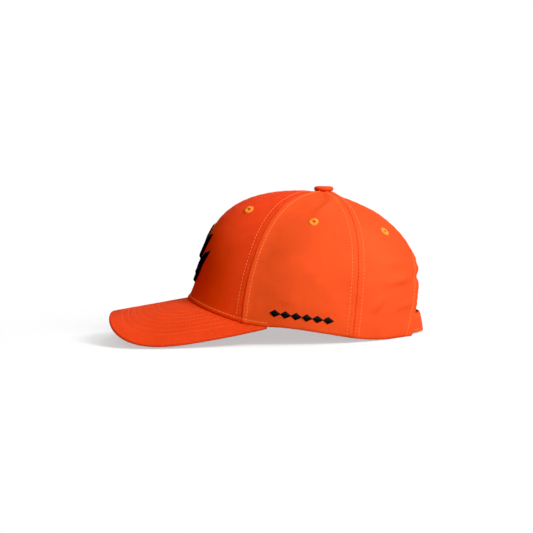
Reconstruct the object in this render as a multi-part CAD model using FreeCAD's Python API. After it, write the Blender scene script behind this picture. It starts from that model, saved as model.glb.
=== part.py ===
import FreeCAD, Part
import math
import os

os.makedirs("parts", exist_ok=True)
V = FreeCAD.Vector

# ---------------------------------------------------------------- driving sizes
# millimetres and degrees; bill points to -X, back of the head +X, wearer's left -Y
opening_half_length = 102.8      # head opening, centre to the front or the back
opening_half_width = 82.0        # head opening, centre to a side
crown_height = 126.4             # resting plane to the top of the fabric
apex_setback = 21.6              # top button behind the centre of the opening

bill_length = 70.3               # along the centre line, in front of the crown
bill_half_width = 87.1           # measured round the bend
bill_bend_radius = 116.0
bill_slope = 8.35                # degrees down towards the tip
bill_root_height = 35.7          # top of the bill where the front seam meets it
bill_widest_back = 21.7          # widest place, behind the front of the opening
bill_roundness = 3.3             # exponent of the outline, 2 is an ellipse
bill_corner_x = -33.5            # where the bill ends at the side of the opening

panel_thickness = 0.9
stiffener_thickness = 0.8
layer_gap = 0.1                  # between sewn layers
body_gap = 0.35                  # between pieces that move against each other
tape_width = 14.0
tape_thickness = 0.4
sweatband_height = 32.0
sweatband_thickness = 1.1
padding_thickness = 0.4

front_seam_azimuth = 42.6        # degrees round from the front, at the rim
front_seam_swing = 2.0           # degrees further back from mid height up
rear_seam_azimuth = 102.9
rear_seam_swing = 18.0           # degrees further back, from the rim to the top

arch_half_width = 37.0           # opening above the closure
arch_height = 64.0
arch_squareness = 2.2
binding_width = 9.0
binding_thickness = 0.5

strap_height = 16.2
strap_thickness = 1.4
patch_thickness = 0.8
tab_thickness = 1.2
strap_bulge_top = 0.4            # how far the closed strap stands out
strap_bulge_bottom = 5.6
strap_hinge_y = 33.0
strap_root_y = 53.0
strap_free_y = -22.0
tab_free_y = 24.0

button_radius = 8.6
button_height = 4.7
button_tilt = 2.5                # degrees back
stem_radius = 1.6
apex_hole_radius = 2.4
flat_top_radius = 16.0           # fabric is pulled flat inside this radius

eyelet_radius = 4.2
eyelet_hole_radius = 1.2
eyelet_cut_radius = 1.9
emblem_relief = 1.5

# crown profile, shares of the sizes above, at the front, the side and the back
lean_share = (-0.20, 0.21, 0.137)
lower_share = (0.27, 0.84, 0.58)
upper_share = (0.9875, 0.35, 0.75)
drop_share = (-0.123, 0.074, 0.187)

# ---------------------------------------------------------------- depths of the layers
stiffener_depth = panel_thickness + layer_gap
front_tape_depth = stiffener_depth + stiffener_thickness + layer_gap
rear_tape_depth = panel_thickness + layer_gap
binding_depth = panel_thickness + layer_gap
strap_root_depth = binding_depth + binding_thickness + 2 * layer_gap
padding_depth = front_tape_depth + tape_thickness + layer_gap
sweatband_depth = max(padding_depth + padding_thickness, strap_root_depth + strap_thickness) + layer_gap
cover_thickness = 0.7
board_thickness = 1.6
bill_inner_depth = 1.8
bill_thickness = 2 * cover_thickness + board_thickness + 2 * layer_gap


# ---------------------------------------------------------------- crown surface
def round_values(values, azimuth):
    front, side, back = values
    angle = math.radians(azimuth)
    mean = (front + back) / 4 + side / 2
    half = (front - back) / 2
    twice = (front + back) / 4 - side / 2
    return mean + half * math.cos(angle) + twice * math.cos(2 * angle)


def smooth(value):
    value = max(0.0, min(1.0, value))
    return value * value * (3 - 2 * value)


def rim_radius(azimuth):
    """Distance from the apex axis to the oval rim."""
    dx = -math.cos(math.radians(azimuth))
    dy = -math.sin(math.radians(azimuth))
    first = (dx / opening_half_length) ** 2 + (dy / opening_half_width) ** 2
    second = 2 * apex_setback * dx / opening_half_length ** 2
    third = (apex_setback / opening_half_length) ** 2 - 1
    return (-second + math.sqrt(second ** 2 - 4 * first * third)) / (2 * first)


def bill_top_height(x, y):
    """Height of the bill's top face over a point of the plan."""
    slope = math.radians(bill_slope)
    sag = bill_bend_radius - math.sqrt(bill_bend_radius ** 2 - y * y)
    ahead = (-opening_half_length + sag * math.sin(slope) - x) / math.cos(slope)
    return bill_root_height - ahead * math.sin(slope) - sag * math.cos(slope)


corner_y = opening_half_width * math.sqrt(1 - (bill_corner_x / opening_half_length) ** 2)
corner_height = bill_top_height(bill_corner_x, corner_y)


def rim_height(azimuth):
    radius = rim_radius(azimuth)
    x = apex_setback - radius * math.cos(math.radians(azimuth))
    y = radius * math.sin(math.radians(azimuth))
    if x <= bill_corner_x:
        return bill_top_height(x, y)
    share = (x - bill_corner_x) / (opening_half_length - bill_corner_x)
    return corner_height * max(0.0, 1 - smooth(share / 0.8))


def meridian(azimuth, climb):
    """Radius from the apex axis and height, climb 0 at the rim and 1 at the apex."""
    radius = rim_radius(azimuth)
    low = rim_height(azimuth)
    reach = opening_half_length
    lean = round_values(lean_share, azimuth) * reach
    lower = round_values(lower_share, azimuth)
    upper = round_values(upper_share, azimuth)
    drop = round_values(drop_share, azimuth) * crown_height
    left = 1 - climb
    weights = (left ** 3, 3 * left ** 2 * climb, 3 * left * climb ** 2, climb ** 3)
    radii = (radius, radius + lean, radius * upper, 0.0)
    lower_height = low + lower * (crown_height - low)
    heights = (low, lower_height, crown_height - drop * upper, crown_height)
    out_radius = sum(w * r for w, r in zip(weights, radii))
    out_height = sum(w * h for w, h in zip(weights, heights))
    pull = smooth((flat_top_radius - out_radius) / (flat_top_radius - 4.0))
    if climb > 0.5:
        out_height += pull * (crown_height - out_height)
    return out_radius, out_height


def crown_face(azimuth, climb):
    radius, height = meridian(azimuth, climb)
    angle = math.radians(azimuth)
    return V(apex_setback - radius * math.cos(angle), -radius * math.sin(angle), height)


def crown_normal(azimuth, climb):
    step = 0.4
    rise = 0.002
    across = crown_face(azimuth + step, climb) - crown_face(azimuth - step, climb)
    along = crown_face(azimuth, climb + rise) - crown_face(azimuth, climb - rise)
    normal = along.cross(across)
    normal.normalize()
    if normal.dot(crown_face(azimuth, climb) - V(apex_setback, 0, 40)) < 0:
        normal = normal * -1
    return normal


def crown_point(azimuth, climb, depth):
    return crown_face(azimuth, climb) - crown_normal(azimuth, climb) * depth


def climb_where(test):
    """Smallest climb for which the test holds."""
    low = -0.05
    high = 0.9999
    for _ in range(40):
        middle = (low + high) / 2
        if test(middle):
            high = middle
        else:
            low = middle
    return high


def climb_at_rise(azimuth, rise):
    target = rim_height(azimuth) + rise
    return climb_where(lambda climb: meridian(azimuth, climb)[1] > target)


def climb_at_radius(azimuth, radius):
    return climb_where(lambda climb: climb > 0.5 and meridian(azimuth, climb)[0] < radius)


def azimuth_at_side(side_y, climb):
    """Azimuth at the back of the crown whose point lies side_y from the middle plane."""
    sign = -1 if side_y > 0 else 1
    low = 90.0
    high = 180.0
    for _ in range(40):
        middle = (low + high) / 2
        if abs(crown_face(middle, climb).y) > abs(side_y):
            low = middle
        else:
            high = middle
    return sign * low


# ---------------------------------------------------------------- solids from two faces
def patch(grid):
    surface = Part.BSplineSurface()
    surface.interpolate(grid)
    return surface


def solid_between(outer_grid, inner_grid):
    """Closed solid between two faces given as matching grids of points."""
    outer = patch(outer_grid)
    inner = patch(inner_grid)
    faces = [outer.toShape(), inner.toShape()]
    edges = []
    for surface in (outer, inner):
        u_low, u_high, v_low, v_high = surface.bounds()
        rims = (surface.uIso(u_low), surface.uIso(u_high), surface.vIso(v_low), surface.vIso(v_high))
        edges.append([rim.toShape() for rim in rims])
    for first, second in zip(edges[0], edges[1]):
        faces.append(Part.makeRuledSurface(first, second))
    shell = Part.makeShell(faces)
    shell.sewShape()
    solid = Part.makeSolid(shell)
    if solid.Volume < 0:
        solid.reverse()
    return solid


def grid_of(function, columns, rows):
    return [[function(column, row) for row in rows] for column in columns]


def evenly(count):
    return [index / (count - 1) for index in range(count)]


def towards_apex(count):
    return [1 - (1 - index / (count - 1)) ** 1.5 for index in range(count)]


def crown_layer(az_from, az_to, climb_from, climb_to, outer, inner, columns, rows):
    """Solid layer of the crown; the limits are functions, the depths numbers."""
    def at(depth):
        def point(across, up):
            guess = az_from(0.5) + (az_to(0.5) - az_from(0.5)) * across
            low = climb_from(guess)
            climb = low + (climb_to(guess) - low) * up
            azimuth = az_from(climb) + (az_to(climb) - az_from(climb)) * across
            return crown_point(azimuth, climb, depth)
        return point
    return solid_between(grid_of(at(outer), columns, rows), grid_of(at(inner), columns, rows))


def seam(number, side):
    """Azimuth of a seam as a function of the climb: 0 front, 1 front-side, 2 side-rear, 3 back."""
    def azimuth(climb):
        base = (0.0, front_seam_azimuth, rear_seam_azimuth, 180.0)[number]
        swing = (0.0, front_seam_swing * smooth(climb / 0.45), rear_seam_swing * climb, 0.0)[number]
        return side * (base + swing)
    return azimuth


def beside(line, distance):
    """The line moved round the crown by a distance in millimetres."""
    def azimuth(climb):
        base = line(climb)
        radius = max(meridian(base, climb)[0], 1.0)
        return base + math.degrees(distance / radius)
    return azimuth


def extrude_outline(points, direction, closed_smooth):
    """Prism over a closed outline, smooth or with straight sides."""
    if closed_smooth:
        curve = Part.BSplineCurve()
        curve.interpolate(points, PeriodicFlag=True)
        wire = Part.Wire([curve.toShape()])
    else:
        wire = Part.makePolygon(points + [points[0]])
    return Part.Face(wire).extrude(direction)


def save(node, shape):
    shape = shape.removeSplitter() if len(shape.Solids) == 1 and len(shape.Faces) > 12 else shape
    shape.exportStep("parts/" + node + ".step")
    box = shape.BoundBox
    ends = (box.XMin, box.XMax, box.YMin, box.YMax, box.ZMin, box.ZMax)
    text = " ".join("%.1f" % value for value in ends)
    print("%-22s solids %d valid %s volume %9.1f  %s" % (
        node, len(shape.Solids), shape.isValid(), shape.Volume, text))


# ---------------------------------------------------------------- bill
def bill_point(across, ahead, lift):
    """across is measured round the bend, ahead from the front of the opening."""
    slope = math.radians(bill_slope)
    turn = across / bill_bend_radius
    forward = V(-math.cos(slope), 0, -math.sin(slope))
    upward = V(-math.sin(slope), 0, math.cos(slope))
    reach = bill_bend_radius + lift
    start = V(-opening_half_length, 0, bill_root_height)
    side = V(0, reach * math.sin(turn), 0)
    return start + forward * ahead + side + upward * (reach * math.cos(turn) - bill_bend_radius)


def bill_flat(x, y):
    """Flat bill coordinates over a point of the plan."""
    slope = math.radians(bill_slope)
    sag = bill_bend_radius - math.sqrt(bill_bend_radius ** 2 - y * y)
    ahead = (-opening_half_length + sag * math.sin(slope) - x) / math.cos(slope)
    return bill_bend_radius * math.asin(y / bill_bend_radius), ahead


corner_across, corner_ahead = bill_flat(bill_corner_x, corner_y)


def bill_outer(share, inset):
    """Outer outline: share 0 at the tip and 1 at a side corner, moved in by inset."""
    back = -bill_widest_back
    tip_part = 0.68
    if share < tip_part:
        angle = math.radians(90) * (1 - share / tip_part)
        power = 2 / bill_roundness
        across = (bill_half_width - inset) * math.cos(angle) ** power
        ahead = back + (bill_length - inset - back) * math.sin(angle) ** power
        return across, ahead
    along = 1 - (share - tip_part) / (1 - tip_part)
    wide = bill_half_width - inset
    end = corner_across + 0.3 - inset
    across = end + (wide - end) * math.sin(math.radians(90) * along)
    return across, corner_ahead + (back - corner_ahead) * along


def bill_inner(share, depth):
    """Inner outline, just inside the crown."""
    corner_azimuth = math.degrees(math.atan2(corner_y, apex_setback - bill_corner_x))
    azimuth = corner_azimuth * share
    radius = rim_radius(azimuth)
    x = apex_setback - radius * math.cos(math.radians(azimuth))
    y = radius * math.sin(math.radians(azimuth))
    nx = x / opening_half_length ** 2
    ny = y / opening_half_width ** 2
    size = math.hypot(nx, ny)
    return bill_flat(x - nx / size * depth, y - ny / size * depth)


def bill_layer(top, bottom, inset, inner_line):
    """Layer of the bill between two lifts, from an inner line to the outline moved in by inset."""
    half = [index / 20 for index in range(21)]
    columns = [-share for share in reversed(half[1:])] + half

    def at(lift):
        def point(column, row):
            share = abs(column)
            side = -1 if column < 0 else 1
            outer = bill_outer(share, inset)
            inner = inner_line(share)
            across = inner[0] + (outer[0] - inner[0]) * row
            ahead = inner[1] + (outer[1] - inner[1]) * row
            return bill_point(side * across, ahead, lift)
        return point
    rows = evenly(5)
    return solid_between(grid_of(at(top), columns, rows), grid_of(at(bottom), columns, rows))


def crown_line(depth):
    """Inner line of a bill layer, this far inside the crown's outer face."""
    return lambda share: bill_inner(share, depth)


board_top = -cover_thickness - layer_gap
board_bottom = board_top - board_thickness
edge_width = cover_thickness
save("bill_board", bill_layer(board_top, board_bottom, edge_width + layer_gap, crown_line(bill_inner_depth)))
save("bill_cover_top", bill_layer(0.0, -cover_thickness, 0.0, crown_line(bill_inner_depth)))
save("bill_cover_bottom", bill_layer(board_bottom - layer_gap, -bill_thickness, 0.0, crown_line(bill_inner_depth)))
edge_fold = bill_layer(board_top, board_bottom, 0.0, lambda share: bill_outer(share, edge_width))
save("bill_edge_fold", edge_fold)
bill_clearance = bill_layer(layer_gap, -bill_thickness - 3, -3.0, crown_line(bill_inner_depth + 4.0))

# ---------------------------------------------------------------- crown panels
columns = evenly(9)
rows = towards_apex(25)
half_gap = layer_gap / 2


def at_rim(azimuth):
    return 0.0


def above_rim(rise):
    return lambda azimuth: climb_at_rise(azimuth, rise)


def below_apex(radius):
    return lambda azimuth: climb_at_radius(azimuth, radius)


def panel(number, side, outer, inner, edge, start, stop):
    first = beside(seam(number, side), side * edge)
    second = beside(seam(number + 1, side), -side * edge)
    return crown_layer(first, second, start, stop, outer, inner, columns, rows)


arch_points = []
arch_steps = 24
for step in range(arch_steps + 1):
    angle = math.radians(180) * step / arch_steps
    power = 2 / arch_squareness
    y = arch_half_width * math.copysign(abs(math.cos(angle)) ** power, math.cos(angle))
    z = arch_height * math.sin(angle) ** power
    arch_points.append((y, z))


def arch_prism(grow):
    """Block in the shape of the rear opening, grown outwards all round."""
    start_x = apex_setback + 20
    wide = (arch_half_width + grow) / arch_half_width
    high = (arch_height + grow) / arch_height
    curve = Part.BSplineCurve()
    curve.interpolate([V(start_x, y * wide, z * high) for y, z in arch_points])
    low = -10
    right = V(start_x, arch_points[0][0] * wide, 0)
    left = V(start_x, arch_points[-1][0] * wide, 0)
    sides = [curve.toShape()]
    sides.append(Part.makeLine(left, V(start_x, left.y, low)))
    sides.append(Part.makeLine(V(start_x, left.y, low), V(start_x, right.y, low)))
    sides.append(Part.makeLine(V(start_x, right.y, low), right))
    return Part.Face(Part.Wire(Part.__sortEdges__(sides))).extrude(V(120, 0, 0))


arch_cut = arch_prism(0.0)
hole_stop = below_apex(apex_hole_radius)
side_names = {1: "left", -1: "right"}
eyelet_places = {"front": (23.9, 0.663), "side": (78.7, 0.497), "rear": (140.9, 0.491)}
panel_numbers = {"front": 0, "side": 1, "rear": 2}


def eyelet_frame(area, side):
    azimuth, climb = eyelet_places[area]
    return crown_face(side * azimuth, climb), crown_normal(side * azimuth, climb)


for side, side_name in side_names.items():
    for area, number in panel_numbers.items():
        shape = panel(number, side, 0.0, panel_thickness, half_gap, at_rim, hole_stop)
        if area != "rear":
            shape = shape.cut(bill_clearance)
        else:
            shape = shape.cut(arch_cut)
        place, normal = eyelet_frame(area, side)
        shape = shape.cut(Part.makeCylinder(eyelet_cut_radius, 8, place - normal * 4, normal))
        save(area + "_panel_" + side_name, shape)
    inner = stiffener_depth + stiffener_thickness
    shape = panel(0, side, stiffener_depth, inner, 1.2, at_rim, below_apex(6.0)).cut(bill_clearance)
    place, normal = eyelet_frame("front", side)
    shape = shape.cut(Part.makeCylinder(eyelet_cut_radius, 8, place - normal * 4, normal))
    save("front_stiffener_" + side_name, shape)

# ---------------------------------------------------------------- eyelets
for area in eyelet_places:
    for side, side_name in side_names.items():
        place, normal = eyelet_frame(area, side)
        back = panel_thickness + 0.3
        if area == "front":
            back = stiffener_depth + stiffener_thickness + 0.3
        hole = eyelet_hole_radius
        outer = eyelet_radius
        neck = eyelet_cut_radius - 0.1
        profile = [(hole, -back), (neck, -back), (neck, 0.2), (outer, 0.2), (outer, 0.45), (outer - 0.8, 0.8)]
        profile += [(hole + 0.7, 0.8), (hole, 0.4)]
        wire = Part.makePolygon([V(r, 0, h) for r, h in profile + [profile[0]]])
        ring = Part.Face(wire).revolve(V(0, 0, 0), V(0, 0, 1), 360)
        turn = FreeCAD.Rotation(V(0, 0, 1), normal)
        ring.Placement = FreeCAD.Placement(place, turn)
        save("eyelet_" + area + "_" + side_name, ring)

# ---------------------------------------------------------------- inside tapes
half_tape = tape_width / 2
tape_columns = evenly(5)
tape_rows = evenly(23)


def tape(name, line, depth, start, stop):
    edges = beside(line, -half_tape), beside(line, half_tape)
    shape = crown_layer(edges[0], edges[1], start, stop, depth, depth + tape_thickness, tape_columns, tape_rows)
    save(name, shape)


tape_stop = below_apex(27.0)
tape("tape_front_center", seam(0, 1), front_tape_depth, above_rim(2.5), tape_stop)
for side, side_name in side_names.items():
    tape("tape_front_" + side_name, seam(1, side), front_tape_depth, above_rim(2.5), tape_stop)
    tape("tape_rear_" + side_name, seam(2, side), rear_tape_depth, above_rim(1.0), tape_stop)
tape("tape_rear_center", seam(3, 1), rear_tape_depth, above_rim(arch_height + binding_width + 1.5), tape_stop)

# ---------------------------------------------------------------- opening binding
binding_grow = binding_width
binding_side = arch_half_width + binding_width + 6
back_left = azimuth_at_side(-binding_side, 0.15)
binding_sheet = crown_layer(
    lambda climb: back_left, lambda climb: 360 - back_left, above_rim(0.2), above_rim(arch_height + 16),
    binding_depth, binding_depth + binding_thickness, evenly(21), evenly(13))
binding = binding_sheet.common(arch_prism(binding_grow)).cut(arch_cut)
save("opening_binding", binding)

# ---------------------------------------------------------------- sweatband
band_end = azimuth_at_side(-arch_half_width - 3.0, 0.1)
band_columns = evenly(41)
band = crown_layer(
    lambda climb: -band_end, lambda climb: band_end, at_rim, above_rim(sweatband_height),
    sweatband_depth, sweatband_depth + sweatband_thickness, band_columns, evenly(5))
save("sweatband", band)
padding_end = 74.0
padding = crown_layer(
    lambda climb: -padding_end, lambda climb: padding_end, above_rim(3.0), above_rim(sweatband_height - 3),
    padding_depth, padding_depth + padding_thickness, evenly(25), evenly(5))
save("sweatband_padding", padding)
label_depth = sweatband_depth + sweatband_thickness + layer_gap
label = crown_layer(
    lambda climb: 112.0, lambda climb: 126.0, above_rim(5.0), above_rim(sweatband_height - 5),
    label_depth, label_depth + 0.4, evenly(5), evenly(4))
save("care_label", label)


# ---------------------------------------------------------------- closure strap and tab
def closure_depth(y, up):
    """Depth of the strap's outer face; negative stands out past the crown."""
    share = max(0.0, 1 - (y / (strap_hinge_y + 4.0)) ** 2)
    bulge = strap_bulge_bottom + (strap_bulge_top - strap_bulge_bottom) * up
    return strap_root_depth - bulge * share ** 2


def closure_height(y, up):
    share = max(0.0, 1 - (y / strap_root_y) ** 2)
    return 0.6 + 0.8 * share + strap_height * up


def closure_point(y, up, depth):
    """Point of the closure; y grows towards the wearer's left, where the strap is sewn."""
    height = closure_height(y, up)
    azimuth = azimuth_at_side(-y, 0.08) if abs(y) > 0.01 else 180.0
    climb = climb_where(lambda value: meridian(azimuth, value)[1] > height)
    azimuth = azimuth_at_side(-y, climb) if abs(y) > 0.01 else 180.0
    return crown_point(azimuth, climb, depth)


def tab_sink(y):
    """Extra depth of the tab, so that it passes under the strap."""
    full = strap_thickness + 2 * patch_thickness + 2 * layer_gap + body_gap
    return full * smooth((strap_hinge_y + y) / 9.0)


def closure_layer(y_from, y_to, outer, inner, extra, low, high, count):
    def at(depth):
        def point(across, up):
            y = y_from + (y_to - y_from) * across
            level = low + (high - low) * up
            return closure_point(y, level, closure_depth(y, level) + depth + extra(y))
        return point
    return solid_between(grid_of(at(outer), evenly(count), evenly(4)), grid_of(at(inner), evenly(count), evenly(4)))


def nothing(y):
    return 0.0


strap = closure_layer(strap_free_y, strap_hinge_y, 0.0, strap_thickness, nothing, 0.0, 1.0, 15)
save("strap_band", strap)
root = closure_layer(strap_hinge_y + body_gap, strap_root_y, 0.0, strap_thickness, nothing, 0.0, 1.0, 7)
save("strap_root", root)
hook_top = strap_thickness + layer_gap
hook = closure_layer(strap_free_y + 1.5, tab_free_y - 2, hook_top, hook_top + patch_thickness, nothing, 0.08, 0.92, 11)
save("strap_hook_patch", hook)
loop = closure_layer(-23.0, tab_free_y - 1.5, -patch_thickness - layer_gap, -layer_gap, tab_sink, 0.08, 0.92, 11)
save("tab_loop_patch", loop)
tab = closure_layer(-strap_hinge_y, tab_free_y, 0.0, tab_thickness, tab_sink, 0.0, 1.0, 15)
save("tab_band", tab)
tab_root = closure_layer(-strap_root_y, -strap_hinge_y - body_gap, 0.0, tab_thickness, tab_sink, 0.0, 1.0, 7)
save("tab_root", tab_root)

# ---------------------------------------------------------------- top button
button_turn = FreeCAD.Rotation(V(0, 1, 0), -button_tilt * -1)
button_base = V(apex_setback, 0, crown_height + 0.55)
cover_wall = 0.7


def turned(profile):
    wire = Part.makePolygon([V(r, 0, h) for r, h in profile + [profile[0]]])
    shape = Part.Face(wire).revolve(V(0, 0, 0), V(0, 0, 1), 360)
    shape.Placement = FreeCAD.Placement(button_base, button_turn)
    return shape


def dome(radius, height, low):
    """Half outline of a cushion: flat top, rounded shoulder, turned-in bottom."""
    points = [(radius - 1.2, low), (radius - 0.2, low + 0.5), (radius, low + 1.5)]
    for step in range(5):
        angle = math.radians(90) * step / 4
        shoulder = 2.6
        r = radius - shoulder + shoulder * math.cos(angle)
        points.append((r, height - 1.8 + 1.4 * math.sin(angle)))
    points.append((0.0, height))
    return points


outside = dome(button_radius, button_height, 0.0)
inside = dome(button_radius - cover_wall, button_height - cover_wall, 0.7)
cover_profile = outside + list(reversed(inside)) + [(button_radius - cover_wall - 1.2, 0.0)]
save("button_cover", turned(cover_profile))
shell_outside = dome(button_radius - cover_wall - layer_gap, button_height - cover_wall - layer_gap, 0.75)
shell_profile = [(stem_radius + layer_gap, 0.75)] + shell_outside[:-1] + [(stem_radius + layer_gap, shell_outside[-1][1])]
save("button_shell", turned(shell_profile))
stem_top = button_height - cover_wall - layer_gap * 2
stem_low = -panel_thickness - 2.6
save("button_rivet", turned([(0.0, stem_low), (stem_radius, stem_low), (stem_radius, stem_top), (0.0, stem_top)]))
washer_top = -panel_thickness - 0.9
washer_profile = [(stem_radius + layer_gap, washer_top), (5.5, washer_top), (6.0, washer_top - 0.4)]
washer_profile += [(5.2, washer_top - 0.9), (stem_radius + layer_gap, washer_top - 1.1)]
save("button_washer", turned(washer_profile))

# ---------------------------------------------------------------- raised embroidery
emblem_low = 48.0
emblem_high = 102.0
emblem_sheet = crown_layer(
    lambda climb: -32.0, lambda climb: 32.0, above_rim(6.0), above_rim(76.0),
    -emblem_relief, -layer_gap, evenly(17), evenly(9))


def leaf(base_y, base_z, length, width, lean):
    """Lens-shaped leaf in the front plane, pointing up and leaning sideways."""
    angle = math.radians(lean)
    along = V(0, math.sin(angle), math.cos(angle))
    across = V(0, math.cos(angle), -math.sin(angle))
    start = V(-160, base_y, base_z)
    tip = start + along * length
    middle = start + along * (length * 0.48)
    right = Part.Arc(start, middle + across * (width / 2), tip).toShape()
    left = Part.Arc(tip, middle - across * (width / 2), start).toShape()
    return Part.Face(Part.Wire([right, left])).extrude(V(130, 0, 0))


stem_half = 1.1
stem = Part.makeBox(130, 2 * stem_half, 36, V(-160, -stem_half, emblem_low))
sprig = stem.fuse(leaf(0, emblem_low + 31, emblem_high - emblem_low - 31, 11, 0))
for lift, length, lean, width in ((3, 23, 54, 9.5), (9, 34, 51, 12), (23, 28, 38, 10.5)):
    for side in (1, -1):
        sprig = sprig.fuse(leaf(-side * 0.4, emblem_low + lift, length, width, side * lean))
save("front_emblem", emblem_sheet.common(sprig))

motif_count = 6
motif_length = 9.0
motif_height = 6.6
motif_start = (-30.0, 28.2)
motif_slant = -9.3
motif_sheet = crown_layer(
    lambda climb: 50.0, lambda climb: 98.0, above_rim(3.0), above_rim(24.0),
    -0.7, -layer_gap, evenly(13), evenly(5))
slant = math.radians(motif_slant)
along = V(math.cos(slant), 0, math.sin(slant))
upward = V(-math.sin(slant), 0, math.cos(slant))
chain = None
for index in range(motif_count):
    start = V(motif_start[0], -110, motif_start[1]) + along * (motif_length * index)
    half = motif_length / 2
    lozenge = [start - along * 0.5, start + along * half + upward * (motif_height / 2)]
    lozenge += [start + along * (motif_length + 0.5), start + along * half - upward * (motif_height / 2)]
    block = extrude_outline(lozenge, V(0, 60, 0), False)
    chain = block if chain is None else chain.fuse(block)
save("side_motif", motif_sheet.common(chain))
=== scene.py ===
import bpy
import math
import numpy as np
from mathutils import Matrix, Vector
from mathutils.bvhtree import BVHTree


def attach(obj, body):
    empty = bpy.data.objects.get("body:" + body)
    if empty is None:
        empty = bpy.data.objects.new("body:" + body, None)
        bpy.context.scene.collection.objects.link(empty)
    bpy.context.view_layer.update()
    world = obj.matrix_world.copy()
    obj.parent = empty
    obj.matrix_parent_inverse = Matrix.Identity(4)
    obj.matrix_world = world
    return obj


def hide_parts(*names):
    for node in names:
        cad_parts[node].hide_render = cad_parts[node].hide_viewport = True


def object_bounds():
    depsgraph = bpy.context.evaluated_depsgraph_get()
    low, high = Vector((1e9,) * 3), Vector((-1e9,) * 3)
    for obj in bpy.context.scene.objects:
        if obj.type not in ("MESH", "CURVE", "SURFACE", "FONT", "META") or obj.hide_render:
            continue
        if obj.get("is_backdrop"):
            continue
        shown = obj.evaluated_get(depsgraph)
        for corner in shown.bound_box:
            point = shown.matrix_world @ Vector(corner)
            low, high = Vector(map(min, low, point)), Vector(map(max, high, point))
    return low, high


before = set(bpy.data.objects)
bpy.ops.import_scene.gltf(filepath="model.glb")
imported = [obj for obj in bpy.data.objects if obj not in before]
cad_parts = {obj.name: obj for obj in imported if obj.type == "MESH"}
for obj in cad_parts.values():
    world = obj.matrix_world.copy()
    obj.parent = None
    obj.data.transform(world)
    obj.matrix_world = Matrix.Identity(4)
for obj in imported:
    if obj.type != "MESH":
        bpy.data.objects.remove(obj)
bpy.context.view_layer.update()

MM = 0.001
WAVE = 6.283  # one full wave, in radians
FINE = 1.0

# ------------------------------------------------------------------ sizes of the cap, mm and degrees
half_length = 102.8
half_width = 82.0
crown_height = 126.4
apex_back = 21.6
bill_length = 70.3
bill_half_width = 87.1
bill_bend = 116.0
bill_slope = math.radians(8.35)
bill_root = 35.7
bill_widest = -21.7
bill_power = 2 / 3.3
bill_corner_x = -33.5
front_seam = 42.6
front_swing = 2.0
rear_seam = 102.9
rear_swing = 18.0
arch_half = 37.0
arch_height = 64.0
arch_power = 2.2
lean_share = (-0.20, 0.21, 0.137)
lower_share = (0.27, 0.84, 0.58)
upper_share = (0.9875, 0.35, 0.75)
drop_share = (-0.123, 0.074, 0.187)
flat_radius = 16.0
panel_thick = 0.9
stiffener_depth = 1.0
stiffener_thick = 0.8
front_tape_depth = 1.9
side_tape_depth = 1.0
tape_thick = 0.4
band_height = 32.0
strap_root_depth = 1.7
band_depth = strap_root_depth + 1.5
band_thick = 1.1
bill_inner_depth = 1.8
cover_thick = 0.7
bill_thick = 3.2


# ------------------------------------------------------------------ crown surface
def smooth(value):
    value = np.clip(value, 0.0, 1.0)
    return value * value * (3 - 2 * value)


def round_values(values, azimuth):
    front, side, back = values
    angle = np.radians(azimuth)
    mean = (front + back) / 4 + side / 2
    half = (front - back) / 2
    twice = (front + back) / 4 - side / 2
    return mean + half * np.cos(angle) + twice * np.cos(2 * angle)


def rim_radius(azimuth):
    dx = -np.cos(np.radians(azimuth))
    dy = -np.sin(np.radians(azimuth))
    first = (dx / half_length) ** 2 + (dy / half_width) ** 2
    second = 2 * apex_back * dx / half_length ** 2
    third = (apex_back / half_length) ** 2 - 1
    return (-second + np.sqrt(second ** 2 - 4 * first * third)) / (2 * first)


def bill_sag_and_ahead(x, y):
    """Fall of the curved bill beside its middle, and distance ahead of its root along the slope."""
    sag = bill_bend - np.sqrt(np.maximum(bill_bend ** 2 - y * y, 1.0))
    return sag, (-half_length + sag * math.sin(bill_slope) - x) / math.cos(bill_slope)


def bill_top_height(x, y):
    sag, ahead = bill_sag_and_ahead(x, y)
    return bill_root - ahead * math.sin(bill_slope) - sag * math.cos(bill_slope)


corner_y = half_width * math.sqrt(1 - (bill_corner_x / half_length) ** 2)
corner_height = float(bill_top_height(bill_corner_x, np.array(corner_y)))


def rim_place(azimuth):
    radius = rim_radius(azimuth)
    return apex_back - radius * np.cos(np.radians(azimuth)), radius * np.sin(np.radians(azimuth))


def rim_height(azimuth):
    x, y = rim_place(azimuth)
    share = (x - bill_corner_x) / (half_length - bill_corner_x)
    behind = corner_height * (1 - smooth(share / 0.8))
    return np.where(x <= bill_corner_x, bill_top_height(x, y), behind)


def meridian(azimuth, climb):
    radius = rim_radius(azimuth)
    low = rim_height(azimuth)
    lean = round_values(lean_share, azimuth) * half_length
    lower = round_values(lower_share, azimuth)
    upper = round_values(upper_share, azimuth)
    drop = round_values(drop_share, azimuth) * crown_height
    left = 1 - climb
    w0, w1, w2, w3 = left ** 3, 3 * left ** 2 * climb, 3 * left * climb ** 2, climb ** 3
    out_radius = w0 * radius + w1 * (radius + lean) + w2 * radius * upper
    out_height = w0 * low + w1 * (low + lower * (crown_height - low))
    out_height = out_height + w2 * (crown_height - drop * upper) + w3 * crown_height
    pull = smooth((flat_radius - out_radius) / (flat_radius - 4.0)) * (climb > 0.5)
    return out_radius, out_height + pull * (crown_height - out_height)


def crown_face(azimuth, climb):
    azimuth, climb = np.broadcast_arrays(np.asarray(azimuth, float), np.asarray(climb, float))
    radius, height = meridian(azimuth, climb)
    angle = np.radians(azimuth)
    return np.stack([apex_back - radius * np.cos(angle), -radius * np.sin(angle), height], -1)


def unit(vectors):
    return vectors / np.maximum(np.linalg.norm(vectors, axis=-1, keepdims=True), 1e-9)


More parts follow.
